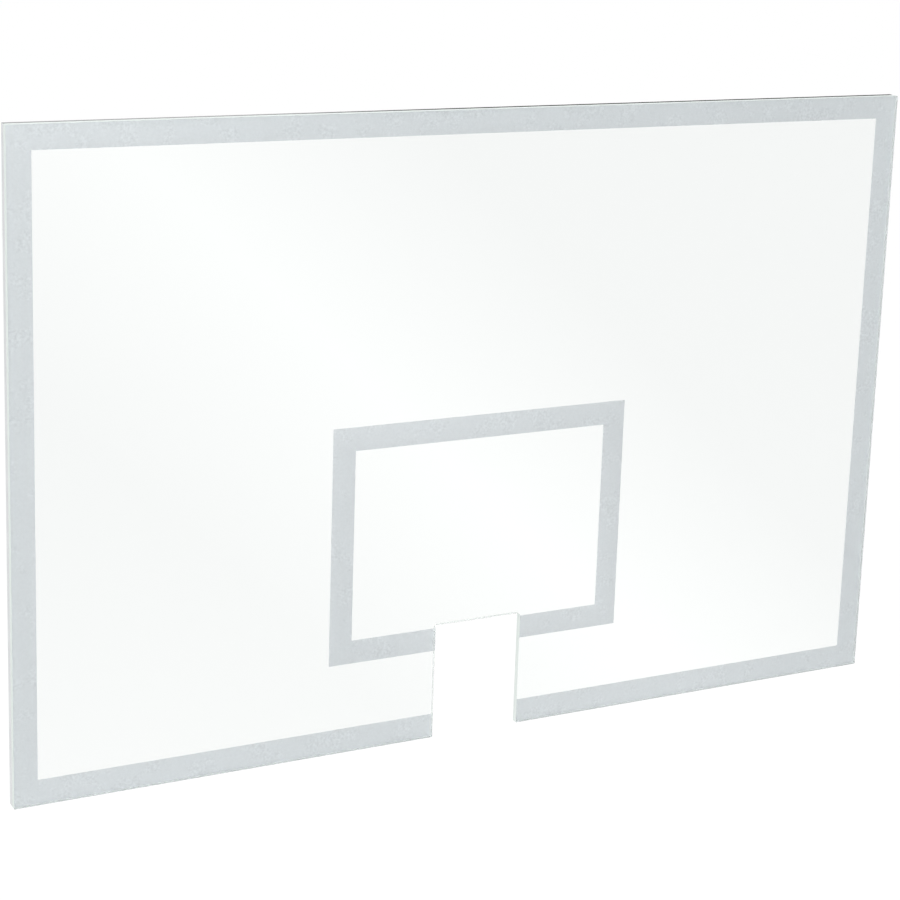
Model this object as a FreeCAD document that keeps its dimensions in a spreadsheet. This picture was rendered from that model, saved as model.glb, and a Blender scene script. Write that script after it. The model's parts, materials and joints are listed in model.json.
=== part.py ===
"""Basketball backboard: a clear toughened-glass panel with foil markings, bonded to a slim rear frame.

Frame of the part, in millimetres: X to the right as seen from the front, Y to the rear, Z up. The origin is
the centre of the board on the rear face of the frame, which is the plane that the support bolts against.
"""
import FreeCAD
import Part
import Sketcher
import os
import re

# Driving sizes: name, value, meaning
SIZES = [
    ("panel_width", "1800", "glass, left to right"),
    ("panel_height", "1200", "glass, bottom to top"),
    ("panel_thickness", "12", "glass, front to rear"),
    ("panel_corner_radius", "2", "outer corners of the glass, dubbed off"),
    ("arris", "0.5", "ground bevel along every edge of the glass"),
    ("notch_width", "180", "opening for the ring's carrier in the lower edge"),
    ("notch_height", "225", "top of that opening above the lower edge"),
    ("notch_radius", "6", "upper corners of the notch, rounded to keep the glass from cracking"),
    ("line_width", "45", "markings: inner edge of the border from the glass edge, and the target's lines"),
    ("foil_setback", "0.6", "foil stops just short of the edge of the glass"),
    ("foil_thickness", "0.3", "marking foil"),
    ("foil_joint", "0.1", "gap where two foil strips butt"),
    ("target_width", "610", "outside of the shooter's rectangle"),
    ("target_height", "455", "outside of the shooter's rectangle"),
    ("target_rise", "172", "lower edge of the rectangle above the lower edge of the glass"),
    ("tape_thickness", "1", "structural bonding tape"),
    ("tape_inset", "3", "tape stops short of the sides of its bar"),
    ("frame_setback", "0.5", "frame stops just short of the edge of the glass"),
    ("bar_width", "30", "flat bar of the frame, hidden behind the border"),
    ("bar_thickness", "15", "flat bar of the frame, front to rear"),
    ("bar_edge", "0.8", "bevel round the rear face of a bar"),
    ("bar_notch_gap", "15", "bar ends stay back from the sides of the notch"),
    ("lap_share", "0.5", "share of the bar thickness that the rails keep in a corner lap"),
    ("screw_diameter", "5", "shank of a corner screw"),
    ("screw_head_diameter", "10", "countersunk head of a corner screw"),
    ("screw_length", "13", "corner screw, over all"),
    ("screw_inset", "10", "screw centres from the sides of the bar"),
    ("screw_socket", "3.4", "hexagon socket, across its corners"),
    ("socket_depth", "2", "hexagon socket"),
    ("screw_room", "0.1", "radial room round a corner screw"),
    ("insert_diameter", "12", "threaded insert, outside"),
    ("insert_bore", "8", "threaded insert, M8 thread as a plain bore"),
    ("insert_length", "13", "threaded insert"),
    ("insert_room", "0.05", "radial room round an insert"),
    ("bore_end_room", "0.5", "room beyond the end of an insert or a screw"),
    ("rail_insert_reach", "600", "inserts in the rails, from the middle of the board"),
    ("stile_insert_reach", "300", "inserts in the stiles, from the middle of the board"),
]

doc = FreeCAD.newDocument("backboard")
sheet = doc.addObject("Spreadsheet::Sheet", "sizes")
for row, (alias, value, meaning) in enumerate(SIZES, start=1):
    sheet.set("A%d" % row, alias)
    sheet.set("B%d" % row, value)
    sheet.setAlias("B%d" % row, alias)
    sheet.set("C%d" % row, meaning)
doc.recompute()

# Places that several pieces share, as formulas of the driving sizes
FOIL_BACK = "-(bar_thickness + tape_thickness)"
GLASS_BACK = FOIL_BACK + " - foil_thickness"
FOIL_BOTTOM = "-(panel_height / 2 - foil_setback)"
FOIL_NOTCH_END = "-(notch_width / 2 + foil_setback)"
BORDER_WIDTH = "line_width - foil_setback"
FRAME_LEFT = "-(panel_width / 2 - frame_setback)"
FRAME_BOTTOM = "-(panel_height / 2 - frame_setback)"
FRAME_TOP = "(panel_height / 2 - frame_setback)"
FRAME_WIDTH = "(panel_width - 2 * frame_setback)"
FRAME_HEIGHT = "(panel_height - 2 * frame_setback)"
BAR_END = "-(notch_width / 2 + bar_notch_gap)"
LAP_DEPTH = "lap_share * bar_thickness"
SCREW_HOLE = "screw_diameter / 2 + screw_room"
INSERT_HOLE = "insert_diameter / 2 + insert_room"
INSERT_HOLE_DEPTH = "insert_length + bore_end_room"
FAR_INSET = "(bar_width - screw_inset)"

# Facing the rear: local Z of a primitive turned to +Y
TO_REAR = FreeCAD.Rotation(FreeCAD.Vector(1, 0, 0), -90)
ACROSS = FreeCAD.Vector(1, 0, 0)
UPWARD = FreeCAD.Vector(0, 0, 1)
COUNTERSINK_ANGLE = 90
CUBIC_CENTIMETRE = 1000

nodes = {}


def bind(thing, field, formula):
    """Bind one property to a formula whose words are names in the sheet."""
    thing.setExpression(field, re.sub(r"[a-z_]{3,}", lambda word: "sizes." + word.group(), formula))


def number(alias):
    """Value of one driving size."""
    return float(sheet.get(alias))


def place(thing, across, back, up):
    """Bind the coordinates of an object's place; None leaves one at zero."""
    for axis, formula in zip("xyz", (across, back, up)):
        if formula is not None:
            bind(thing, "Placement.Base." + axis, formula)


def keep(thing, label):
    """Name a finished piece, which is written under that name."""
    thing.Label = label
    nodes[label] = thing
    return thing


def new_body(label):
    """An empty body."""
    return doc.addObject("PartDesign::Body", label + "_body")


def origin_plane(body, role):
    """One of the body's own origin planes."""
    return next(plane for plane in body.Origin.OriginFeatures if plane.Role == role)


def front_sketch(body, name, forward=None):
    """A sketch in the body's XZ plane, or moved forward from it: its axes are X and Z."""
    sketch = body.newObject("Sketcher::SketchObject", name)
    sketch.AttachmentSupport = [(origin_plane(body, "XZ_Plane"), "")]
    sketch.MapMode = "FlatFace"
    if forward is not None:
        bind(sketch, "AttachmentOffset.Base.z", forward)
    return sketch


def dimension(sketch, kind, points, formula):
    """A dimension between two sketch points, drawn at its present value and then bound to a formula."""
    gap = sketch.getPoint(*points[2:]) - sketch.getPoint(*points[:2])
    index = sketch.addConstraint(Sketcher.Constraint(kind, *points, gap.x if kind == "DistanceX" else gap.y))
    bind(sketch, "Constraints[%d]" % index, formula)


def corner_at(sketch, line, across, up):
    """Hold the first point of a line or the centre of a circle at (across, up); None keeps it on the axis."""
    point = 3 if sketch.Geometry[line].TypeId == "Part::GeomCircle" else 1
    for formula, kind, axis in ((across, "DistanceX", -2), (up, "DistanceY", -1)):
        if formula is None:
            sketch.addConstraint(Sketcher.Constraint("PointOnObject", line, point, axis))
        else:
            dimension(sketch, kind, (-1, 1, line, point), formula)


def rectangle(sketch, across, up, width, height):
    """A rectangle with its lower left corner at (across, up)."""
    side = number("line_width")
    points = [FreeCAD.Vector(x, z, 0) for x, z in ((0, 0), (side, 0), (side, side), (0, side))]
    first = sketch.GeometryCount
    for start, end in zip(points, points[1:] + points[:1]):
        sketch.addGeometry(Part.LineSegment(start, end))
    for side_number in range(4):
        following = (side_number + 1) % 4
        sketch.addConstraint(Sketcher.Constraint("Coincident", first + side_number, 2, first + following, 1))
        direction = "Vertical" if side_number % 2 else "Horizontal"
        sketch.addConstraint(Sketcher.Constraint(direction, first + side_number))
    dimension(sketch, "DistanceX", (first, 1, first, 2), width)
    dimension(sketch, "DistanceY", (first + 1, 1, first + 1, 2), height)
    corner_at(sketch, first, across, up)


def circle(sketch, across, up, radius):
    """A circle with its centre at (across, up)."""
    side = number("line_width")
    index = sketch.addGeometry(Part.Circle(FreeCAD.Vector(side, side, 0), FreeCAD.Vector(0, 0, 1), side))
    rule = sketch.addConstraint(Sketcher.Constraint("Radius", index, side))
    bind(sketch, "Constraints[%d]" % rule, radius)
    corner_at(sketch, index, across, up)


def pad(body, sketch, depth):
    """Grow the sketch towards the front, which is -Y."""
    feature = body.newObject("PartDesign::Pad", sketch.Name + "_pad")
    feature.Profile = sketch
    bind(feature, "Length", depth)
    doc.recompute()
    return feature


def pocket(body, sketch, depth):
    """Cut the sketch towards the front, which is -Y, and make sure that something was cut."""
    before = body.Shape.Volume
    feature = body.newObject("PartDesign::Pocket", sketch.Name + "_pocket")
    feature.Profile = sketch
    feature.Reversed = True
    bind(feature, "Length", depth)
    doc.recompute()
    if not body.Shape.Volume < before:
        raise RuntimeError(sketch.Name + " cut nothing")
    return feature


def plate(label, width, height, thickness, across, back, up):
    """A flat rectangular piece: lower left corner at (across, up), rear face at back."""
    body = new_body(label)
    sketch = front_sketch(body, label + "_outline")
    rectangle(sketch, None, None, width, height)
    pad(body, sketch, thickness)
    place(body, across, back, up)
    return keep(body, label)


def mirrored(source, label):
    """The right-hand twin of a left-hand piece."""
    twin = doc.addObject("Part::Mirroring", label + "_mirror")
    twin.Source = source
    twin.Normal = ACROSS
    return keep(twin, label)


def depth_edges(shape, wanted):
    """Names of the edges that run front to rear and whose place (x, z) is wanted."""
    names = []
    for index, edge in enumerate(shape.Edges, start=1):
        start, end = edge.Vertexes[0].Point, edge.Vertexes[-1].Point
        sideways = abs(start.x - end.x) + abs(start.z - end.z)
        if sideways < Part.Precision.confusion() and wanted(start.x, start.z):
            names.append("Edge%d" % index)
    return names


def rim_edges(shape):
    """Names of the edges that lie in the front face or in the rear face."""
    box = shape.BoundBox
    names = []
    for index, edge in enumerate(shape.Edges, start=1):
        span = edge.BoundBox
        from_faces = (span.YMin - box.YMin) * (box.YMax - span.YMax)
        if span.YLength < number("arris") and from_faces < number("arris"):
            names.append("Edge%d" % index)
    return names


def rear_edges(shape):
    """Names of the edges that lie in the rear face."""
    back = shape.BoundBox.YMax
    return ["Edge%d" % index for index, edge in enumerate(shape.Edges, start=1)
            if back - edge.BoundBox.YMin < Part.Precision.confusion()]


def dress(body, kind, base, names, field, formula):
    """A fillet or chamfer on the named edges of the feature before it."""
    feature = body.newObject("PartDesign::" + kind, base.Name + "_" + kind.lower())
    feature.Base = (base, names)
    bind(feature, field, formula)
    doc.recompute()
    return feature


# The glass: outline with the notch, rounded corners, ground arrises
def glass_panel():
    """Toughened panel with its lower edge on the sketch's own X axis."""
    body = new_body("glass_panel")
    sketch = front_sketch(body, "glass_outline")
    half, tall = number("panel_width") / 2, number("panel_height")
    notch, rise = number("notch_width") / 2, number("notch_height")
    points = [(-half, 0), (-notch, 0), (-notch, rise), (notch, rise),
              (notch, 0), (half, 0), (half, tall), (-half, tall)]
    vectors = [FreeCAD.Vector(x, z, 0) for x, z in points]
    for start, end in zip(vectors, vectors[1:] + vectors[:1]):
        sketch.addGeometry(Part.LineSegment(start, end))
    for line in range(len(points)):
        sketch.addConstraint(Sketcher.Constraint("Coincident", line, 2, (line + 1) % len(points), 1))
    for upright in (1, 3, 5, 7):
        sketch.addConstraint(Sketcher.Constraint("Vertical", upright))
    for lower in (0, 4):
        sketch.addConstraint(Sketcher.Constraint("Horizontal", lower))
        sketch.addConstraint(Sketcher.Constraint("PointOnObject", lower, 1, -1))
    for upper in (2, 6):
        sketch.addConstraint(Sketcher.Constraint("Symmetric", upper, 1, upper, 2, -2))
    dimension(sketch, "DistanceX", (6, 2, 6, 1), "panel_width")
    dimension(sketch, "DistanceY", (5, 1, 5, 2), "panel_height")
    dimension(sketch, "DistanceX", (2, 1, 2, 2), "notch_width")
    dimension(sketch, "DistanceY", (1, 1, 1, 2), "notch_height")
    slab = pad(body, sketch, "panel_thickness")

    def notch_top(x, z):
        """Upper corners of the notch."""
        return abs(abs(x) - notch) < Part.Precision.confusion() and z > 0

    notch_corners = depth_edges(slab.Shape, notch_top)
    inner = dress(body, "Fillet", slab, notch_corners, "Radius", "notch_radius")

    def outer_corner(x, z):
        """The four corners of the board and the two lower corners at the mouth of the notch."""
        on_side = abs(abs(x) - half) < Part.Precision.confusion()
        return on_side or abs(z) < Part.Precision.confusion()

    outer_corners = depth_edges(inner.Shape, outer_corner)
    outer = dress(body, "Fillet", inner, outer_corners, "Radius", "panel_corner_radius")
    dress(body, "Chamfer", outer, rim_edges(outer.Shape), "Size", "arris")
    place(body, None, GLASS_BACK, "-panel_height / 2")
    return keep(body, "glass_panel")


# Markings: foil strips on the rear face of the glass, uprights first
def markings():
    """Border and shooter's rectangle; the notch cuts both lower lines in two."""
    def strip(label, width, height, across, up):
        """One foil strip."""
        return plate(label, width, height, "foil_thickness", across, FOIL_BACK, up)

    border_inside = "(panel_width / 2 - line_width)"
    upright = strip("border_left_strip", BORDER_WIDTH, "panel_height - 2 * foil_setback",
                    "-(panel_width / 2 - foil_setback)", FOIL_BOTTOM)
    mirrored(upright, "border_right_strip")
    strip("border_top_strip", "2 * (%s - foil_joint)" % border_inside, BORDER_WIDTH,
          "-(%s - foil_joint)" % border_inside, "panel_height / 2 - line_width")
    lower = strip("border_bottom_left_strip", "%s - foil_joint + (%s)" % (border_inside, FOIL_NOTCH_END),
                  BORDER_WIDTH, "-(%s - foil_joint)" % border_inside, FOIL_BOTTOM)
    mirrored(lower, "border_bottom_right_strip")

    target_inside = "(target_width / 2 - line_width)"
    target_bottom = "(target_rise - panel_height / 2)"
    side = strip("target_left_strip", "line_width", "target_height", "-target_width / 2", target_bottom)
    mirrored(side, "target_right_strip")
    strip("target_top_strip", "2 * (%s - foil_joint)" % target_inside, "line_width",
          "-(%s - foil_joint)" % target_inside, "%s + target_height - line_width" % target_bottom)
    base = strip("target_base_left_strip", "%s - foil_joint + (%s)" % (target_inside, FOIL_NOTCH_END),
                 "line_width", "-(%s - foil_joint)" % target_inside, target_bottom)
    mirrored(base, "target_base_right_strip")


# Frame: flat bars, half-lapped at the corners, bored for inserts and screws
def flat_bar(label, length, height):
    """A plain bar with a bevel round its rear face."""
    body = new_body(label)
    outline = front_sketch(body, label + "_outline")
    rectangle(outline, None, None, length, height)
    blank = pad(body, outline, "bar_thickness")
    dress(body, "Chamfer", blank, rear_edges(blank.Shape), "Size", "bar_edge")
    return body


def rail(label, length, laps, inserts, screws, across, up):
    """A level bar. It keeps its rear half in the laps, where countersunk screws go in from the rear."""
    body = flat_bar(label, length, "bar_width")
    lap = front_sketch(body, label + "_lap", LAP_DEPTH)
    for start in laps:
        rectangle(lap, start, None, "bar_width", "bar_width")
    pocket(body, lap, "bar_thickness")
    bores = front_sketch(body, label + "_bores")
    for reach in inserts:
        circle(bores, reach, "bar_width / 2", INSERT_HOLE)
    pocket(body, bores, INSERT_HOLE_DEPTH)
    centres = front_sketch(body, label + "_screw_centres")
    for reach, rise in screws:
        circle(centres, reach, rise, SCREW_HOLE)
    countersink(body, centres)
    place(body, across, None, up)
    return keep(body, label)


def countersink(body, sketch):
    """Through holes with a countersink in the rear face, one for each circle of the sketch."""
    before = body.Shape.Volume
    doc.recompute()
    hole = body.newObject("PartDesign::Hole", sketch.Name + "_hole")
    hole.Profile = sketch
    doc.recompute()
    hole.Reversed = True
    hole.DepthType = "ThroughAll"
    hole.HoleCutType = "Countersink"
    hole.HoleCutCustomValues = True
    hole.HoleCutCountersinkAngle = COUNTERSINK_ANGLE
    bind(hole, "Diameter", "2 * (%s)" % SCREW_HOLE)
    bind(hole, "HoleCutDiameter", "screw_head_diameter + 2 * screw_room")
    doc.recompute()
    if not body.Shape.Volume < before:
        raise RuntimeError(sketch.Name + " bored nothing")


def stile(label):
    """The left upright bar. It keeps its front half in the laps and takes the tips of the screws."""
    body = flat_bar(label, "bar_width", FRAME_HEIGHT)
    lap = front_sketch(body, label + "_lap")
    rectangle(lap, None, None, "bar_width", "bar_width")
    rectangle(lap, None, FRAME_HEIGHT + " - bar_width", "bar_width", "bar_width")
    pocket(body, lap, LAP_DEPTH)
    bores = front_sketch(body, label + "_bores")
    for sign in "-+":
        circle(bores, "bar_width / 2", "%s / 2 %s stile_insert_reach" % (FRAME_HEIGHT, sign), INSERT_HOLE)
    pocket(body, bores, INSERT_HOLE_DEPTH)
    tapped = front_sketch(body, label + "_screw_holes")
    for near, far in (("screw_inset", FAR_INSET), (FAR_INSET, "screw_inset")):
        circle(tapped, near, far, SCREW_HOLE)
        circle(tapped, near, "%s - %s" % (FRAME_HEIGHT, far), SCREW_HOLE)
    pocket(body, tapped, "screw_length + bore_end_room")
    place(body, FRAME_LEFT, None, FRAME_BOTTOM)
    return keep(body, label)


def frame():
    """Two stiles, a top rail, and a bottom rail on each side of the notch."""
    mirrored(stile("frame_left_stile"), "frame_right_stile")
    middle = FRAME_WIDTH + " / 2"
    near, far = "screw_inset", FAR_INSET
    top_screws = [(near, near), (far, far)]
    top_screws += [("%s - %s" % (FRAME_WIDTH, reach), rise) for reach, rise in top_screws]
    top_inserts = [middle + " - rail_insert_reach", middle + " + rail_insert_reach"]
    rail("frame_top_rail", FRAME_WIDTH, [None, FRAME_WIDTH + " - bar_width"], top_inserts, top_screws,
         FRAME_LEFT, FRAME_TOP + " - bar_width")
    lower = rail("frame_bottom_left_rail", "%s - (%s)" % (BAR_END, FRAME_LEFT), [None], top_inserts[:1],
                 [(near, far), (far, near)], FRAME_LEFT, FRAME_BOTTOM)
    mirrored(lower, "frame_bottom_right_rail")


# Bonding tape between the foil and the bars
def tapes():
    """One strip of tape for each bar, where the bar has its full thickness or is the front of a lap."""
    back = "-bar_thickness"
    width = "bar_width - 2 * tape_inset"
    inside = "(panel_width / 2 - frame_setback - bar_width - tape_inset)"
    left = plate("bond_left_tape", width, FRAME_HEIGHT + " - 2 * tape_inset", "tape_thickness",
                 FRAME_LEFT + " + tape_inset", back, FRAME_BOTTOM + " + tape_inset")
    mirrored(left, "bond_right_tape")
    plate("bond_top_tape", "2 * " + inside, width, "tape_thickness", "-" + inside, back,
          FRAME_TOP + " - bar_width + tape_inset")
    length = "%s - tape_inset + %s" % (BAR_END, inside)
    lower = plate("bond_bottom_left_tape", length, width, "tape_thickness",
                  "-" + inside, back, FRAME_BOTTOM + " + tape_inset")
    mirrored(lower, "bond_bottom_right_tape")


# Fasteners: made once for the upper right quarter of the frame, then mirrored across and down
def turned(kind, name, front, sizes):
    """A turned primitive whose axis is its local Z, starting at front; sizes bind its properties."""
    thing = doc.addObject("Part::" + kind, name)
    for field, formula in sizes.items():
        bind(thing, field, formula)
    bind(thing, "Placement.Base.z", front)
    return thing


def combine(kind, base, tool):
    """Fuse or cut two solids."""
    thing = doc.addObject("Part::" + kind, "%s_%s" % (base.Name, kind.lower()))
    thing.Base = base
    thing.Tool = tool
    return thing


def corner_screw(name, across, up):
    """A countersunk screw with a hexagon socket, its head flush with the rear face of the frame."""
    shank = "screw_diameter / 2"
    head = "(screw_head_diameter / 2 - screw_diameter / 2)"
    cone = turned("Cone", name + "_head", "-" + head,
                  {"Radius1": shank, "Radius2": "screw_head_diameter / 2", "Height": head})
    stem = turned("Cylinder", name + "_shank", "-screw_length",
                  {"Radius": shank, "Height": "screw_length - " + head})
    socket = turned("Prism", name + "_socket", "-socket_depth",
                    {"Circumradius": "screw_socket / 2", "Height": "socket_depth"})
    screw = combine("Cut", combine("Fuse", cone, stem), socket)
    screw.Placement.Rotation = TO_REAR
    place(screw, across, None, up)
    return screw


def mounting_insert(name, across, up):
    """A threaded insert, its mouth flush with the rear face of the frame."""
    sleeve = turned("Cylinder", name + "_sleeve", "-insert_length",
                    {"Radius": "insert_diameter / 2", "Height": "insert_length"})
    thread = turned("Cylinder", name + "_thread", "-insert_length",
                    {"Radius": "insert_bore / 2", "Height": "insert_length"})
    insert = combine("Cut", sleeve, thread)
    insert.Placement.Rotation = TO_REAR
    place(insert, across, None, up)
    return insert


def compound(name, links):
    """Several solids as one object."""
    thing = doc.addObject("Part::Compound", name)
    thing.Links = links
    return thing


def quartered(label, pieces):
    """The pieces of one quarter, repeated in the other three, as one node of separate solids."""
    group = compound(label + "_quarter", pieces)
    for side, normal in (("across", ACROSS), ("down", UPWARD)):
        twin = doc.addObject("Part::Mirroring", "%s_%s" % (label, side))
        twin.Source = group
        twin.Normal = normal
        group = compound("%s_%s_pair" % (label, side), [group, twin])
    return keep(group, label)


def fasteners():
    """Two screws in each corner lap, an insert in each half of a rail and in each half of a stile."""
    corner_x, corner_z = "panel_width / 2 - frame_setback", "panel_height / 2 - frame_setback"
    quartered("corner_screws", [
        corner_screw("outer_screw", corner_x + " - screw_inset", "%s - %s" % (corner_z, FAR_INSET)),
        corner_screw("inner_screw", "%s - %s" % (corner_x, FAR_INSET), corner_z + " - screw_inset"),
    ])
    quartered("mounting_inserts", [
        mounting_insert("rail_insert", "rail_insert_reach", corner_z + " - bar_width / 2"),
        mounting_insert("stile_insert", corner_x + " - bar_width / 2", "stile_insert_reach"),
    ])


glass_panel()
markings()
tapes()
frame()
fasteners()
doc.recompute()

for thing in doc.Objects:
    if {"Invalid", "Error"} & set(thing.State):
        raise RuntimeError("%s failed: %s" % (thing.Name, thing.State))
for label, thing in nodes.items():
    if thing.Shape.isNull() or not thing.Shape.isValid() or not thing.Shape.Solids:
        raise RuntimeError(label + " has no valid solid")
os.makedirs("parts", exist_ok=True)
for label, thing in nodes.items():
    thing.Shape.exportStep("parts/%s.step" % label)
    volume = thing.Shape.Volume / CUBIC_CENTIMETRE
    print("%-26s %d solid(s), %8.1f cm3" % (label, len(thing.Shape.Solids), volume))
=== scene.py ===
# %% [markdown]
# # A glass basketball backboard
# The board is a sheet of toughened glass, 1800 by 1200 millimetres, with a notch in its lower edge for
# the ring. Grey foil on the rear of the glass draws the border and the target, and a slim metal frame is
# taped on behind the border. The shapes come from a drawn model in metres: X runs to the right, Y to the
# rear and Z up. This lesson leaves them where they are, gives each one its finish, turns the small
# fasteners in full, and sets up the studio.

# %% Load the drawn pieces
import json
import math
import bpy
import numpy as np
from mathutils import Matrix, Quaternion, Vector


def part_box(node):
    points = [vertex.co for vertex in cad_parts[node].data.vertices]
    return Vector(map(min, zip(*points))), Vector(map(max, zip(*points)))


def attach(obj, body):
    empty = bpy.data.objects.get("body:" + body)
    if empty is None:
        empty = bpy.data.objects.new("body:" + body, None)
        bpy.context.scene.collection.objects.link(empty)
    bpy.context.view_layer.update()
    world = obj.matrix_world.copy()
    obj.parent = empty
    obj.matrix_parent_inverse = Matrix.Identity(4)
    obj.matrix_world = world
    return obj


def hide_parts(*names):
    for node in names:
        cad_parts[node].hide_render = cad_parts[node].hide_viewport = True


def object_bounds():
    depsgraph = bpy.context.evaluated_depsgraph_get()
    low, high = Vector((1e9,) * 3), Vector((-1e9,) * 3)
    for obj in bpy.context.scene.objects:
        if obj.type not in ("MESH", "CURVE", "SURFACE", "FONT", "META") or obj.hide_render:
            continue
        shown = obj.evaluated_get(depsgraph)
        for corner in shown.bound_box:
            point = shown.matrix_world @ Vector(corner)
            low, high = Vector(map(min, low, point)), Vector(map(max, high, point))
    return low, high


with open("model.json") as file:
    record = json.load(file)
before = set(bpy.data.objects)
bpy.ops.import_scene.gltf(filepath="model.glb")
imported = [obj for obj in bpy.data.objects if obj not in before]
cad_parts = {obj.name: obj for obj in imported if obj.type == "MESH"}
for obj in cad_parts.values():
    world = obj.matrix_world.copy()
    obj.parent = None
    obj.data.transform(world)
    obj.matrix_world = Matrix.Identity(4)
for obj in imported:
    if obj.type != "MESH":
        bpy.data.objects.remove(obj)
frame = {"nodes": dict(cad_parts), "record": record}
drawn_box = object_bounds()
nodes = frame["nodes"]
scene = bpy.context.scene
scene.view_settings.view_transform = "Standard"
MM = 0.001
print("drawn pieces:", len(nodes), "with corners at", tuple(drawn_box[0]), tuple(drawn_box[1]))

# %% [markdown]
# ## The camera
# A photograph of a flat board gives its camera away: the four corners, the border and the target are
# rectangles of known size, so a place, a lens and a tilt can be fitted until they land where the
# photograph has them. The numbers below are that fit. It stands to the left of the board and above it.
# The small shift slides the film instead of tilting the camera further, so the upright lines lean
# together no more than the photograph shows.

# %% Place the camera
CAMERA_PLACE = Vector((-1.8219, -3.4680, 1.0952))
CAMERA_AIM = Vector((-0.0820, -0.0283, 0.2410))
CAMERA_ROLL = math.radians(1.858)
FILM_WIDTH_MM, LENS_MM = 36.0, 86.66
FILM_SHIFT = -0.16

lens = bpy.data.cameras.new("photo_lens")
lens.sensor_width = FILM_WIDTH_MM
lens.lens = LENS_MM
lens.shift_y = FILM_SHIFT
camera = bpy.data.objects.new("photo_camera", lens)
camera.location = CAMERA_PLACE
camera.rotation_mode = "QUATERNION"
towards = (CAMERA_AIM - CAMERA_PLACE).to_track_quat("-Z", "Y")
camera.rotation_quaternion = towards @ Quaternion((0, 0, 1), CAMERA_ROLL)
scene.collection.objects.link(camera)
scene.camera = camera
print("camera stands", round((CAMERA_AIM - CAMERA_PLACE).length, 2), "m from the board")

# %% [markdown]
# ## Two helpers for every material
# Colours are written as sRGB hex codes, the way a paint chart or a picture editor gives them. Blender
# counts light in linear values, so one function converts them. The other adds a node, sets it and wires
# it in one line, which lets each material below be read from top to bottom.

# %% Helpers: a colour and a node


def linear(code):
    """Linear red, green, blue and alpha of an sRGB code.

    A channel c becomes c / 12.92 near black, else ((c + 0.055) / 1.055) ^ 2.4.
    """
    channels = np.array([int(code[i:i + 2], 16) for i in (1, 3, 5)]) / 255
    near_black = channels / 12.92
    brighter = ((channels + 0.055) / 1.055) ** 2.4
    return (*np.where(channels <= 0.04045, near_black, brighter).tolist(), 1.0)


def add(tree, kind, inputs=(), **settings):
    """One new node: settings go on the node, and each input takes a value or another node's output."""
    made = tree.nodes.new(kind)
    for name, value in settings.items():
        setattr(made, name, value)
    for socket, value in dict(inputs).items():
        if isinstance(value, bpy.types.NodeSocket):
            tree.links.new(value, made.inputs[socket])
        else:
            made.inputs[socket].default_value = value
    return made


def empty_material(name):
    """A new material with no nodes in it yet, and its node tree."""
    material = bpy.data.materials.new(name)
    material.use_nodes = True
    material.node_tree.nodes.clear()
    return material, material.node_tree


def dress(material, piece_names):
    """Put a material on drawn pieces, through their own material slots."""
    for name in piece_names:
        for holder in nodes[name].material_slots:
            holder.material = material
    print(material.name, "on", len(piece_names), "pieces")


print("mid grey #808080 is", round(linear("#808080")[0], 3), "in linear light")

# %% [markdown]
# ## A white studio
# Clear glass has almost no colour of its own, so it shows what stands behind it and mirrors what stands
# in front. The surround is plain white on all sides. It is the main light too: soft, even and without
# direction.

# %% Surround
world = bpy.data.worlds.new("white_studio")
world.use_nodes = True
scene.world = world
tree = world.node_tree
tree.nodes.clear()
sky = add(tree, "ShaderNodeBackground", {"Color": linear("#FFFFFF"), "Strength": 1.0})
add(tree, "ShaderNodeOutputWorld", {"Surface": sky.outputs[0]})
print("surround: white on all sides")

# %% [markdown]
# ## The floor
# A board like this hangs with its lower edge nearly three metres above the court, so the floor lies that
# far down. It is a pale matt sheet that takes shadows. A little glow, added only where the sheet is
# looked at, lifts its far part to the white of the surround, and there is no line where the two meet.

# %% Floor
HANGING_HEIGHT = 2.9
FLOOR_HALF = 90.0
FLOOR_COLOUR = "#E8E8E6"


def flat_sheet(name, corners):
    """A four-sided sheet through four corners."""
    mesh = bpy.data.meshes.new(name)
    mesh.from_pydata([tuple(corner) for corner in corners], [], [(0, 1, 2, 3)])
    sheet = bpy.data.objects.new(name, mesh)
    scene.collection.objects.link(sheet)
    return sheet


floor_level = drawn_box[0].z - HANGING_HEIGHT
corner_signs = ((-1, -1), (1, -1), (1, 1), (-1, 1))
floor = flat_sheet("floor", [(FLOOR_HALF * x, FLOOR_HALF * y, floor_level) for x, y in corner_signs])
matt, tree = empty_material("matt_floor_sheet")
path = add(tree, "ShaderNodeLightPath").outputs
camera_ray = path["Is Camera Ray"]
mirrored_ray = path["Is Glossy Ray"]
bent_ray = path["Is Transmission Ray"]
seen = add(tree, "ShaderNodeMath", {0: camera_ray, 1: mirrored_ray}, operation="MAXIMUM").outputs[0]
seen = add(tree, "ShaderNodeMath", {0: seen, 1: bent_ray}, operation="MAXIMUM").outputs[0]
floor_tone = linear(FLOOR_COLOUR)
glow_needed = [1 - channel for channel in floor_tone[:3]]
paper = add(tree, "ShaderNodeBsdfDiffuse", {"Color": floor_tone})
glow = add(tree, "ShaderNodeEmission", {"Color": (*glow_needed, 1.0), "Strength": seen})
both = add(tree, "ShaderNodeAddShader", {0: paper.outputs[0], 1: glow.outputs[0]})
add(tree, "ShaderNodeOutputMaterial", {"Surface": both.outputs[0]})
floor.data.materials.append(matt)
print("floor at", round(floor_level, 2), "m")

# %% [markdown]
# ## Lamps
# One large soft lamp stands far in front, to the left and a little above. At eleven metres its light
# reaches both ends of the board almost evenly. A second, weaker one stands behind, so that the frame has
# light and shade when the board is turned round. A third hangs above, a little to the rear, where it
# can't reach the front. It lights the top edge of the glass, which is a thin bright line in the
# photograph.

# %% Lamps


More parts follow.
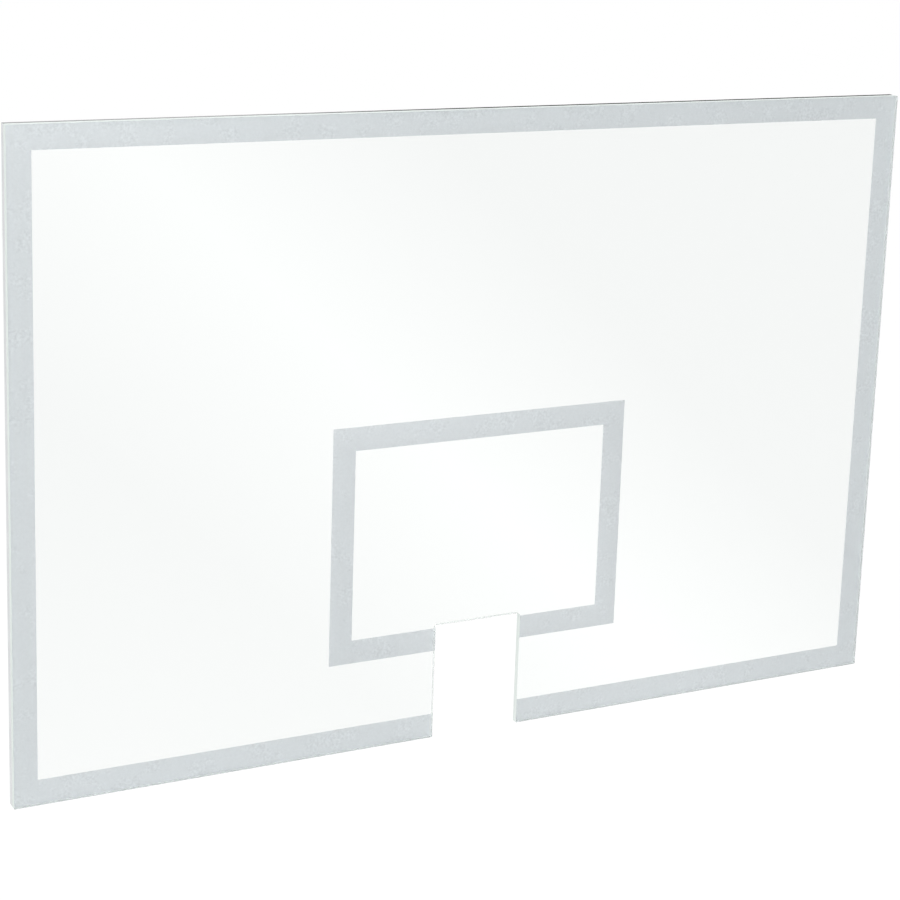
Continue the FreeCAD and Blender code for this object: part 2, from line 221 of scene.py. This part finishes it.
def soft_lamp(name, place, aim, side, power):
    """A square area lamp of one side length, in metres, turned towards a point."""
    light = bpy.data.lights.new(name, "AREA")
    light.size = side
    light.energy = power
    lamp = bpy.data.objects.new(name, light)
    lamp.location = place
    lamp.rotation_mode = "QUATERNION"
    lamp.rotation_quaternion = (Vector(aim) - Vector(place)).to_track_quat("-Z", "Y")
    scene.collection.objects.link(lamp)


soft_lamp("key_lamp", place=(-5.0, -9.5, 1.5), aim=(0, 0, 0), side=6.0, power=312)
soft_lamp("rear_lamp", place=(-3.0, 4.2, 2.8), aim=(0, 0, 0), side=2.4, power=20)
soft_lamp("overhead_lamp", place=(0.0, 1.0, 3.2), aim=(0.0, 0.0, 0.6), side=1.8, power=26)
print("lamps: one in front, one behind, one overhead")

# %% [markdown]
# ## A graded glowing card in front of the glass
# The photograph has a soft white streak that runs down across the glass from upper left to lower right.
# It is a reflection: the glass mirrors about four percent of the light at each face. A photographer makes
# such a streak with a dark card that has a bright band on it, stood where the glass mirrors it into the
# lens. The card here is no lamp but glows by itself, with a painted glow, bright along the band and dark
# beside it. It is there for mirrored light alone: its material is clear for every path that has not been
# mirrored once, so the streak is a painted reflection. Its rim fades to the white of the surround, so no
# edge of it shows in the glass from other sides.

# %% Graded card
CARD_PLANE = -2.5
CARD_LEFT, CARD_RIGHT = -0.9, 3.6
CARD_BOTTOM, CARD_TOP = -2.6, 1.1
BAND_MIDDLE = (1.046, CARD_PLANE, -0.747)
BAND_TURN = math.radians(45.24)
BAND_HALF_WIDTH = 0.711
CARD_DARKEST = 0.18
RIM_WIDTH = 0.5

lower_left = (CARD_LEFT, CARD_PLANE, CARD_BOTTOM)
upper_left = (CARD_LEFT, CARD_PLANE, CARD_TOP)
upper_right = (CARD_RIGHT, CARD_PLANE, CARD_TOP)
lower_right = (CARD_RIGHT, CARD_PLANE, CARD_BOTTOM)
card = flat_sheet("graded_card", [lower_left, upper_left, upper_right, lower_right])
graded, tree = empty_material("graded_card_glow")
place = add(tree, "ShaderNodeTexCoord").outputs["Object"]
across_band = (math.cos(BAND_TURN), 0.0, math.sin(BAND_TURN))
offset = add(tree, "ShaderNodeVectorMath", {0: place, 1: BAND_MIDDLE}, operation="SUBTRACT").outputs[0]
distance = add(tree, "ShaderNodeVectorMath", {0: offset, 1: across_band}, operation="DOT_PRODUCT")
distance = add(tree, "ShaderNodeMath", {0: distance.outputs["Value"]}, operation="ABSOLUTE").outputs[0]
tone = add(tree, "ShaderNodeMapRange", {"Value": distance, "From Min": 0.0, "From Max": BAND_HALF_WIDTH,
                                        "To Min": 1.0, "To Max": CARD_DARKEST}).outputs[0]
card_middle = ((CARD_LEFT + CARD_RIGHT) / 2, CARD_PLANE, (CARD_BOTTOM + CARD_TOP) / 2)
card_half = ((CARD_RIGHT - CARD_LEFT) / 2, 0.0, (CARD_TOP - CARD_BOTTOM) / 2)
from_middle = add(tree, "ShaderNodeVectorMath", {0: place, 1: card_middle}, operation="SUBTRACT").outputs[0]
from_middle = add(tree, "ShaderNodeVectorMath", {0: from_middle}, operation="ABSOLUTE").outputs[0]
to_edge = add(tree, "ShaderNodeVectorMath", {0: card_half, 1: from_middle}, operation="SUBTRACT").outputs[0]
to_edge = add(tree, "ShaderNodeSeparateXYZ", {0: to_edge}).outputs
nearest = add(tree, "ShaderNodeMath", {0: to_edge["X"], 1: to_edge["Z"]}, operation="MINIMUM").outputs[0]
rim = add(tree, "ShaderNodeMapRange", {"Value": nearest, "From Min": RIM_WIDTH, "From Max": 0.0},
          interpolation_type="SMOOTHSTEP").outputs[0]
tone = add(tree, "ShaderNodeMix", {0: rim, 2: tone, 3: 1.0}).outputs[0]
# The card's own painted glow, which only mirrored rays meet: it paints the streak reflected in the glass.
paint = add(tree, "ShaderNodeEmission", {"Color": linear("#FFFFFF"), "Strength": tone})
clear = add(tree, "ShaderNodeBsdfTransparent")
mirrored = add(tree, "ShaderNodeLightPath").outputs["Glossy Depth"]
mirrored = add(tree, "ShaderNodeMath", {0: mirrored, 1: 0.5}, operation="GREATER_THAN").outputs[0]
chosen = add(tree, "ShaderNodeMixShader", {0: mirrored, 1: clear.outputs[0], 2: paint.outputs[0]})
add(tree, "ShaderNodeOutputMaterial", {"Surface": chosen.outputs[0]})
card.data.materials.append(graded)
card.visible_camera = False
card.visible_diffuse = False
card.visible_shadow = False
print("card:", CARD_RIGHT - CARD_LEFT, "by", CARD_TOP - CARD_BOTTOM, "m")

# %% [markdown]
# ## A graded flag behind, seen only in mirrors
# In the photograph the top of the board shows a thin line that grows darker to the right. The top of a
# metal frame mirrors what stands behind it, so there is something dark there on the right. Photographers
# call a black card that is put up for such a reflection a flag. This one is no card but a painted glow,
# half bright at the left and almost black at the right, and it stands just behind and above the board.
# It is switched off for every kind of ray but mirrored ones, so the white background stays white, and the
# line that darkens to the right along the top is a painted reflection.

# %% Graded flag, a painted glow seen only in mirrors
FLAG_PLANE = 0.6
FLAG_LEFT, FLAG_RIGHT = -1.2, 2.2
FLAG_BOTTOM, FLAG_TOP = 0.6, 1.8
FLAG_PALE_X, FLAG_DARK_X = -0.2, 0.25
FLAG_PALEST, FLAG_DARKEST = 0.5, 0.01

lower_left = (FLAG_LEFT, FLAG_PLANE, FLAG_BOTTOM)
lower_right = (FLAG_RIGHT, FLAG_PLANE, FLAG_BOTTOM)
upper_right = (FLAG_RIGHT, FLAG_PLANE, FLAG_TOP)
upper_left = (FLAG_LEFT, FLAG_PLANE, FLAG_TOP)
flag = flat_sheet("dark_flag", [lower_left, lower_right, upper_right, upper_left])
flag_glow, tree = empty_material("flag_painted_glow")
place = add(tree, "ShaderNodeTexCoord").outputs["Object"]
across = add(tree, "ShaderNodeSeparateXYZ", {0: place}).outputs["X"]
tone = add(tree, "ShaderNodeMapRange", {"Value": across, "From Min": FLAG_PALE_X, "From Max": FLAG_DARK_X,
                                        "To Min": FLAG_PALEST, "To Max": FLAG_DARKEST}).outputs[0]
# The flag's own painted glow, half bright at the left and almost black at the right: it paints the
# reflection that darkens along the top of the frame.
paint = add(tree, "ShaderNodeEmission", {"Color": linear("#FFFFFF"), "Strength": tone})
add(tree, "ShaderNodeOutputMaterial", {"Surface": paint.outputs[0]})
flag.data.materials.append(flag_glow)
flag.visible_camera = False
flag.visible_diffuse = False
flag.visible_transmission = False
flag.visible_shadow = False
print("flag from", FLAG_LEFT, "to", FLAG_RIGHT, "m")

# %% [markdown]
# ## The glass
# Float glass is poured on molten tin, so both faces are flat and polished. The edge between them is
# ground, which leaves it satin, and so is the arris, the small bevel on each side of it. Toughening in a
# roller oven leaves long, very low waves. The material is a clear dielectric, and the normal of a face
# tells a ground edge from a polished face. Ground glass is full of tiny pits that scatter light, so it is
# mostly a matt white, with a little green. From inside, the ground edge still mirrors most of the foil
# beside it, so it is only partly frosted on that side, and the front arris is left clear there. Glass
# also stops Blender's lamps as if it were a wall, so its shadow is switched off, and the foil gets its
# light.

# %% Glass material
ROLLER_WAVE_MM, ROLLER_WAVE_HEIGHT_MM = 280.0, 0.04
GRIT_MM, GRIT_DEPTH_MM = 0.8, 0.1
WALL_RANGE = 0.3
ARRIS_SLOPE, ARRIS_RANGE = 0.7, 0.25
FROST_INSIDE = 0.35
GROUND_ROUGHNESS, GROUND_CLEARNESS = 0.75, 0.15

glass, tree = empty_material("toughened_float_glass")
place = add(tree, "ShaderNodeTexCoord").outputs["Object"]
geometry = add(tree, "ShaderNodeNewGeometry").outputs
inside = geometry["Backfacing"]
outside = add(tree, "ShaderNodeMath", {0: 1.0, 1: inside}, operation="SUBTRACT").outputs[0]
side = add(tree, "ShaderNodeMath", {0: outside, 1: inside}, operation="SUBTRACT").outputs[0]
facing = add(tree, "ShaderNodeSeparateXYZ", {0: geometry["True Normal"]}).outputs["Y"]
facing = add(tree, "ShaderNodeMath", {0: facing, 1: side}, operation="MULTIPLY").outputs[0]
wall = add(tree, "ShaderNodeMath", {0: facing, 1: 0.0, 2: WALL_RANGE}, operation="COMPARE").outputs[0]
frost = add(tree, "ShaderNodeMath", {
    0: inside, 1: FROST_INSIDE - 1, 2: 1.0}, operation="MULTIPLY_ADD").outputs[0]
wall = add(tree, "ShaderNodeMath", {0: wall, 1: frost}, operation="MULTIPLY").outputs[0]
rear_arris = add(tree, "ShaderNodeMath", {
    0: facing, 1: ARRIS_SLOPE, 2: ARRIS_RANGE}, operation="COMPARE").outputs[0]
front_arris = add(tree, "ShaderNodeMath", {
    0: facing, 1: -ARRIS_SLOPE, 2: ARRIS_RANGE}, operation="COMPARE").outputs[0]
front_arris = add(tree, "ShaderNodeMath", {0: front_arris, 1: outside}, operation="MULTIPLY").outputs[0]
arris = add(tree, "ShaderNodeMath", {0: rear_arris, 1: front_arris}, operation="MAXIMUM").outputs[0]
ground = add(tree, "ShaderNodeMath", {0: wall, 1: arris}, operation="MAXIMUM").outputs[0]
satin = add(tree, "ShaderNodeMath", {0: ground, 1: GROUND_ROUGHNESS}, operation="MULTIPLY").outputs[0]
clearness = add(tree, "ShaderNodeMath", {
    0: ground, 1: GROUND_CLEARNESS - 1, 2: 1.0}, operation="MULTIPLY_ADD").outputs[0]
tint = add(tree, "ShaderNodeMix", {0: ground, 6: linear("#FDFFFE"), 7: linear("#DEE5E2")},
           data_type="RGBA").outputs[2]
wave = add(tree, "ShaderNodeTexNoise", {
    "Vector": place, "Scale": 1 / (ROLLER_WAVE_MM * MM), "Detail": 1.0}).outputs[0]
grit = add(tree, "ShaderNodeTexNoise", {
    "Vector": place, "Scale": 1 / (GRIT_MM * MM), "Detail": 2.0}).outputs[0]
grit = add(tree, "ShaderNodeMath", {0: grit, 1: ground}, operation="MULTIPLY").outputs[0]
relief = add(tree, "ShaderNodeBump", {
    "Height": wave, "Strength": 1.0, "Distance": ROLLER_WAVE_HEIGHT_MM * MM}).outputs[0]
relief = add(tree, "ShaderNodeBump", {
    "Height": grit, "Strength": 0.3, "Distance": GRIT_DEPTH_MM * MM, "Normal": relief}).outputs[0]
surface = add(tree, "ShaderNodeBsdfPrincipled", {
    "Base Color": tint, "Roughness": satin, "IOR": 1.52, "Transmission Weight": clearness,
    "Normal": relief})
add(tree, "ShaderNodeOutputMaterial", {"Surface": surface.outputs[0]})
dress(glass, ["glass_panel"])
nodes["glass_panel"].visible_shadow = False

# %% [markdown]
# ## The marking foil
# The lines are strips of grey PVC film, cut with a knife and glued to the rear of the glass. In the
# drawing the two faces touch exactly, and a renderer can't tell which of two touching faces a ray meets
# first. A gap between them would be wrong too: the glue bends light as glass does, so light reaches the
# foil without leaving the glass. So the strips are cut again here, from the boxes of the drawn ones, with
# their fronts a few hundredths of a millimetre inside the glass. A strip is two loops of points, front
# and rear, with a cap on each.

# %% Helpers: loops of points and the skin over them
SHARP_ANGLE = math.radians(35)


def grid_quads(rows, columns, ring):
    """Quads between neighbouring loops of points. With ring, the last loop also joins the first."""
    row, column = np.meshgrid(np.arange(rows if ring else rows - 1), np.arange(columns), indexing="ij")
    next_row = (row + 1) % rows
    next_column = (column + 1) % columns
    corners = [(row, column), (next_row, column), (next_row, next_column), (row, next_column)]
    return np.stack([r * columns + c for r, c in corners], axis=-1).reshape(-1, 4)


def skin(name, loops, ring=False):
    """A closed mesh over an array of copies x loops x points x 3, in metres.

    Quads join neighbouring loops. Caps close the ends, or with ring the last loop joins the first.
    """
    copies, rows, columns = loops.shape[:3]
    starts = np.arange(copies)[:, None, None] * rows * columns
    faces = (grid_quads(rows, columns, ring)[None] + starts).reshape(-1, 4).tolist()
    if not ring:
        first = np.arange(columns)
        last = first[::-1] + (rows - 1) * columns
        faces += (np.stack([first, last])[None] + starts).reshape(-1, columns).tolist()
    mesh = bpy.data.meshes.new(name)
    mesh.from_pydata(loops.reshape(-1, 3).tolist(), [], faces)
    mesh.shade_smooth()
    mesh.set_sharp_from_angle(angle=SHARP_ANGLE)
    piece = bpy.data.objects.new(name, mesh)
    scene.collection.objects.link(piece)
    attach(piece, "root")
    return piece


def rounded_outline(low, high, radius, steps):
    """Points round an upright rectangle.

    Each corner is a quarter turn: corner centre + radius (cos t, sin t).
    """
    quarter = np.linspace(0, np.pi / 2, steps)
    angle = (np.arange(4)[:, None] * np.pi / 2 + quarter).ravel()
    right = np.repeat([high.x, low.x, low.x, high.x], steps) - radius * np.repeat([1, -1, -1, 1], steps)
    up = np.repeat([high.z, high.z, low.z, low.z], steps) - radius * np.repeat([1, 1, -1, -1], steps)
    return right + radius * np.cos(angle), up + radius * np.sin(angle)


# %% Cut the strips
GLUE_DEPTH = 0.03 * MM
KNIFE_CORNER = 0.8 * MM
CORNER_STEPS = 5

strips = []
for name in sorted(nodes):
    if name.endswith("_strip"):
        low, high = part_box(name)
        across, up = rounded_outline(low, high, KNIFE_CORNER, CORNER_STEPS)
        fronts = np.stack([across, np.full_like(across, low.y - GLUE_DEPTH), up], axis=-1)
        rears = np.stack([across, np.full_like(across, high.y), up], axis=-1)
        strip = skin(name.replace("_strip", "_foil"), np.stack([fronts, rears])[None])
        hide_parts(name)
        strips.append(strip)
print("foil strips:", len(strips))

# %% [markdown]
# ## The look of the foil
# The film is rolled between heated cylinders. It has a fine pebbled grain, and small pale and dark flecks
# where dust and air were caught in the glue. They gather in clusters, so one soft noise says how strongly
# a finer one is drawn. The grain of real film is finer than a pixel here, so it is drawn a few
# millimetres wide.

# %% Foil material
FLECK_MM = 4.5
CLUSTER_MM = 40.0
PEBBLE_MM, PEBBLE_DEPTH_MM = 1.2, 0.1
FAINT_FLECKS, STRONG_FLECKS = 0.4, 1.6

foil, tree = empty_material("calendered_pvc_foil")
place = add(tree, "ShaderNodeTexCoord").outputs["Object"]
cluster = add(tree, "ShaderNodeTexNoise", {
    "Vector": place, "Scale": 1 / (CLUSTER_MM * MM)}).outputs[0]
fleck = add(tree, "ShaderNodeTexNoise", {
    "Vector": place, "Scale": 1 / (FLECK_MM * MM), "Detail": 3.0}).outputs[0]
pebble = add(tree, "ShaderNodeTexVoronoi", {
    "Vector": place, "Scale": 1 / (PEBBLE_MM * MM)}).outputs["Distance"]
strength = add(tree, "ShaderNodeMapRange", {
    "Value": cluster, "From Min": 0.5, "From Max": 0.6,
    "To Min": FAINT_FLECKS, "To Max": STRONG_FLECKS}).outputs[0]
above = add(tree, "ShaderNodeMath", {0: fleck, 1: 0.5}, operation="SUBTRACT").outputs[0]
shade = add(tree, "ShaderNodeMath", {0: above, 1: strength, 2: 0.5}, operation="MULTIPLY_ADD").outputs[0]
colour = add(tree, "ShaderNodeMix", {0: shade, 6: linear("#CCD0D3"), 7: linear("#E8ECEF")},
             data_type="RGBA").outputs[2]
gloss = add(tree, "ShaderNodeMapRange", {
    "Value": fleck, "From Min": 0.3, "From Max": 0.7, "To Min": 0.42, "To Max": 0.55}).outputs[0]
relief = add(tree, "ShaderNodeBump", {
    "Height": pebble, "Strength": 0.4, "Distance": PEBBLE_DEPTH_MM * MM}).outputs[0]
surface = add(tree, "ShaderNodeBsdfPrincipled", {
    "Base Color": colour, "Roughness": gloss, "IOR": 1.53, "Normal": relief})
add(tree, "ShaderNodeOutputMaterial", {"Surface": surface.outputs[0]})
for strip in strips:
    strip.data.materials.append(foil)
print(foil.name, "on", len(strips), "pieces")

# %% [markdown]
# ## The bonding tape
# Between foil and frame lies a double-sided tape: black acrylic foam with tiny closed cells. Only its
# edge shows, as a thin dull line with pores in it, so the cells are the whole of its look.

# %% Tape material
CELL_MM, CELL_DEPTH_MM = 0.5, 0.2

foam, tree = empty_material("black_acrylic_foam")
place = add(tree, "ShaderNodeTexCoord").outputs["Object"]
cell = add(tree, "ShaderNodeTexVoronoi", {
    "Vector": place, "Scale": 1 / (CELL_MM * MM)}).outputs["Distance"]
colour = add(tree, "ShaderNodeMix", {0: cell, 6: linear("#0E0E0F"), 7: linear("#26272A")},
             data_type="RGBA").outputs[2]
relief = add(tree, "ShaderNodeBump", {
    "Height": cell, "Strength": 0.8, "Distance": CELL_DEPTH_MM * MM}).outputs[0]
surface = add(tree, "ShaderNodeBsdfPrincipled", {
    "Base Color": colour, "Roughness": 0.9, "IOR": 1.48, "Normal": relief})
add(tree, "ShaderNodeOutputMaterial", {"Surface": surface.outputs[0]})
dress(foam, [name for name in nodes if name.endswith("_tape")])

# %% [markdown]
# ## The frame
# The bars are extruded aluminium, etched to a satin and anodised without dye. The die leaves faint lines
# along each bar, and the etch leaves soft clouds. Level and upright bars share one recipe: the pattern is
# squeezed along the bar, which draws it out into lines.

# %% Frame material
DIE_LINE_MM, DIE_LINE_DEPTH_MM = 0.9, 0.02
ETCH_MM = 45.0
LINE_SQUEEZE = 0.004


def anodised(name, squeeze, piece_names):
    """Satin anodised aluminium. The axis with a small squeeze is the one that the die lines follow."""
    metal, tree = empty_material(name)
    place = add(tree, "ShaderNodeTexCoord").outputs["Object"]
    drawn_out = add(tree, "ShaderNodeVectorMath", {0: place, 1: squeeze}, operation="MULTIPLY").outputs[0]
    lines = add(tree, "ShaderNodeTexNoise", {
        "Vector": drawn_out, "Scale": 1 / (DIE_LINE_MM * MM), "Detail": 3.0}).outputs[0]
    etch = add(tree, "ShaderNodeTexNoise", {
        "Vector": place, "Scale": 1 / (ETCH_MM * MM), "Detail": 4.0}).outputs[0]
    shade = add(tree, "ShaderNodeMix", {0: 0.5, 2: lines, 3: etch}).outputs[0]
    shade = add(tree, "ShaderNodeMapRange", {
        "Value": shade, "From Min": 0.35, "From Max": 0.65}).outputs[0]
    colour = add(tree, "ShaderNodeMix", {0: shade, 6: linear("#C8CACC"), 7: linear("#DADCDD")},
                 data_type="RGBA").outputs[2]
    gloss = add(tree, "ShaderNodeMapRange", {"Value": shade, "To Min": 0.3, "To Max": 0.2}).outputs[0]
    relief = add(tree, "ShaderNodeBump", {
        "Height": lines, "Strength": 0.3, "Distance": DIE_LINE_DEPTH_MM * MM}).outputs[0]
    surface = add(tree, "ShaderNodeBsdfPrincipled", {
        "Base Color": colour, "Metallic": 1.0, "Roughness": gloss, "Normal": relief})
    add(tree, "ShaderNodeOutputMaterial", {"Surface": surface.outputs[0]})
    dress(metal, piece_names)


rails = [name for name in nodes if name.endswith("_rail")]
stiles = [name for name in nodes if name.endswith("_stile")]
anodised("anodised_aluminium_level", (LINE_SQUEEZE, 1, 1), rails)
anodised("anodised_aluminium_upright", (1, 1, LINE_SQUEEZE), stiles)

# %% [markdown]
# ## Turned metal pieces
# Screws and threaded inserts come off a lathe, so each is a profile carried round an axis. The grid has
# one row for each point of the profile and one column for each step of the turn. A thread is the same
# grid with a radius that rises and falls by a ramp whose phase grows by one with each turn. All copies
# are worked out as one array.

# %% Helpers for turned pieces
FLANK_STRETCH = 1.25


def thread_ramp(depth, turn, pitch):
    """Height of a thread, from 0 at its root to 1 at its crest.

    It is a triangle wave of depth / pitch - turn, stretched and cut flat at both ends.
    """
    phase = np.mod(depth / pitch - turn, 1.0)
    triangle = 1 - np.abs(2 * phase - 1)
    return np.clip(FLANK_STRETCH * triangle - (FLANK_STRETCH - 1) / 2, 0, 1)


def turned_piece(name, radius, depth, places, ring):
    """One mesh of equal turned parts, from a grid of radii and a row of depths in millimetres.

    x = x0 + r cos(t), y = depth, z = z0 + r sin(t)
    """
    angle = np.arange(radius.shape[1]) / radius.shape[1] * 2 * np.pi
    along = np.broadcast_to(depth[:, None], radius.shape)
    shape = np.stack([radius * np.cos(angle), along, radius * np.sin(angle)], axis=-1)
    shifts = np.array([(x, 0.0, z) for x, z in places])
    piece = skin(name, (shape[None] + shifts[:, None, None]) * MM, ring)
    from_axis = piece.data.attributes.new("from_axis", "FLOAT", "POINT")
    from_axis.data.foreach_set("value", np.tile(radius.ravel(), len(places)).astype(np.float32))
    print(name, "has", len(places), "parts and", len(piece.data.polygons), "faces")
    return piece


# %% [markdown]
# ## Corner screws
# Two countersunk screws hold each half-lapped corner. A real one has a hexagon socket with a drilled
# bottom, a faintly rounded rim, a cone under the head, and a rolled thread. The hexagon is a radius too:
# at an angle t from the middle of a flat it is the apothem divided by cos(t).

# %% Corner screws
SCREW_TURNS = 48
SCREW_NEAR, SCREW_FAR = 10.0, 20.0
SOCKET_APOTHEM = 1.47
CORE_RADIUS, CREST_RADIUS, SCREW_PITCH = 2.0, 2.5, 0.8
SCREW_THREAD_START, SCREW_THREAD_END, SCREW_THREAD_ROWS = -2.7, -12.5, 108

turn = np.arange(SCREW_TURNS) / SCREW_TURNS
to_flat = np.mod(turn * 2 * np.pi, np.pi / 3) - np.pi / 6
hexagon = SOCKET_APOTHEM / np.cos(to_flat)
circle = np.ones(SCREW_TURNS)
socket_radius = np.stack([0.3 * circle, hexagon, hexagon, 1.95 * circle])
socket_depth = np.array([-2.5, -2.0, -0.3, -0.04])
head_radius = np.outer([2.2, 4.5, 4.68, 4.76, 4.74, 2.5], circle)
head_depth = np.array([0.0, 0.0, -0.03, -0.12, -0.22, -2.46])
thread_depth = np.linspace(SCREW_THREAD_START, SCREW_THREAD_END, SCREW_THREAD_ROWS)
ramp = thread_ramp(thread_depth[:, None], turn[None], SCREW_PITCH)
thread_radius = CORE_RADIUS + (CREST_RADIUS - CORE_RADIUS) * ramp
tip_radius = np.outer([1.9, 1.5], circle)
tip_depth = np.array([-12.75, -13.0])
screw_radius = np.concatenate([socket_radius, head_radius, thread_radius, tip_radius])[::-1]
screw_depth = np.concatenate([socket_depth, head_depth, thread_depth, tip_depth])[::-1]
frame_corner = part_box("frame_top_rail")[1] / MM
screw_spots = [(frame_corner.x - SCREW_NEAR, frame_corner.z - SCREW_FAR),
               (frame_corner.x - SCREW_FAR, frame_corner.z - SCREW_NEAR)]
screw_places = [(x * sx, z * sz) for x, z in screw_spots for sx in (-1, 1) for sz in (-1, 1)]
screws = turned_piece("countersunk_corner_screws", screw_radius, screw_depth, screw_places, ring=False)
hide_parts("corner_screws")

# %% [markdown]
# ## Mounting inserts
# The board bolts to its support through eight steel inserts pressed into the frame. Each is a short bush,
# knurled outside to grip the bar and threaded M8 inside. The profile runs round a closed loop, so the
# mesh closes on itself like a ring: outer wall, rear face, mouth, thread and front face.

# %% Mounting inserts
INSERT_TURNS = 96
KNURLS, KNURL_RADIUS, KNURL_DEPTH = 24, 6.0, 0.3
THREAD_MAJOR, THREAD_MINOR, INSERT_PITCH = 4.0, 3.35, 1.25
BORE_START, BORE_END, BORE_ROWS, BORE_FADE = -0.6, -12.6, 96, 0.6

turn = np.arange(INSERT_TURNS) / INSERT_TURNS
circle = np.ones(INSERT_TURNS)
knurl = KNURL_RADIUS - KNURL_DEPTH * np.abs(2 * np.mod(turn * KNURLS, 1.0) - 1)
front_radius = np.outer([5.6, 5.7], circle)
collar_radius = np.outer([5.75, 6.0, 5.9], circle)
outer_radius = np.concatenate([front_radius, [knurl, knurl], collar_radius])
outer_depth = np.array([-13.0, -12.6, -12.5, -2.2, -2.0, -0.15, 0.0])
mouth_radius = np.outer([4.6, 4.5, 4.05], circle)
mouth_depth = np.array([0.0, -0.05, -0.5])
thread_depth = np.linspace(BORE_START, BORE_END, BORE_ROWS)
fade = np.clip(np.minimum(BORE_START - thread_depth, thread_depth - BORE_END) / BORE_FADE, 0, 1)
ramp = thread_ramp(thread_depth[:, None], turn[None], INSERT_PITCH) * fade[:, None]
bore_radius = THREAD_MAJOR - (THREAD_MAJOR - THREAD_MINOR) * ramp
end_radius = np.outer([4.05, 4.3], circle)
end_depth = np.array([-12.7, -13.0])
insert_radius = np.concatenate([outer_radius, mouth_radius, bore_radius, end_radius])
insert_depth = np.concatenate([outer_depth, mouth_depth, thread_depth, end_depth])
insert_places = []
for mount in frame["record"]["mounts"]:
    if mount["kind"] == "bolt_pattern":
        half_x = mount["dims"]["spacing_x_mm"] / 2
        half_z = mount["dims"]["spacing_y_mm"] / 2
        insert_places += [(half_x * sx, half_z * sz) for sx in (-1, 1) for sz in (-1, 1)]
inserts = turned_piece("threaded_mounting_inserts", insert_radius, insert_depth, insert_places, ring=True)
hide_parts("mounting_inserts")

# %% [markdown]
# ## Zinc on turned steel
# Both are steel with a thin zinc plate. On the screws it is dipped clear, which leaves a cool silver with
# a faint blue cloud; on the inserts it is dipped yellow. The lathe leaves fine circles, which follow each
# part's own axis, so the pattern reads the distance from that axis that was stored with the mesh.

# %% Plated steel materials
TOOL_MARK_MM, TOOL_MARK_DEPTH_MM = 0.22, 0.03
STAIN_MM = 6.0


def plated_steel(name, pale, deep, piece):
    """Zinc plated steel between two tones, with circles a tool mark apart."""
    steel, tree = empty_material(name)
    place = add(tree, "ShaderNodeTexCoord").outputs["Object"]
    stain = add(tree, "ShaderNodeTexNoise", {
        "Vector": place, "Scale": 1 / (STAIN_MM * MM), "Detail": 3.0}).outputs[0]
    from_axis = add(tree, "ShaderNodeAttribute", attribute_name="from_axis").outputs["Fac"]
    phase_per_mm = 2 * math.pi / TOOL_MARK_MM
    phase = add(tree, "ShaderNodeMath", {0: from_axis, 1: phase_per_mm}, operation="MULTIPLY").outputs[0]
    circles = add(tree, "ShaderNodeMath", {0: phase}, operation="SINE").outputs[0]
    colour = add(tree, "ShaderNodeMix", {0: stain, 6: linear(pale), 7: linear(deep)},
                 data_type="RGBA").outputs[2]
    gloss = add(tree, "ShaderNodeMapRange", {
        "Value": stain, "To Min": 0.2, "To Max": 0.45}).outputs[0]
    relief = add(tree, "ShaderNodeBump", {
        "Height": circles, "Strength": 0.15, "Distance": TOOL_MARK_DEPTH_MM * MM}).outputs[0]
    surface = add(tree, "ShaderNodeBsdfPrincipled", {
        "Base Color": colour, "Metallic": 1.0, "Roughness": gloss, "Normal": relief})
    add(tree, "ShaderNodeOutputMaterial", {"Surface": surface.outputs[0]})
    piece.data.materials.append(steel)
    print(name, "on", piece.name)


plated_steel("clear_zinc_on_steel", "#D5D6D4", "#AEB4BC", screws)
plated_steel("yellow_zinc_on_steel", "#D8CDA4", "#B9A46C", inserts)

# %% [markdown]
# ## The size
# The finishes must not change the board's size. The size of the box of the drawn pieces is printed.

# %% Print the size of the drawn pieces
print("drawn size", tuple(drawn_box[1] - drawn_box[0]))
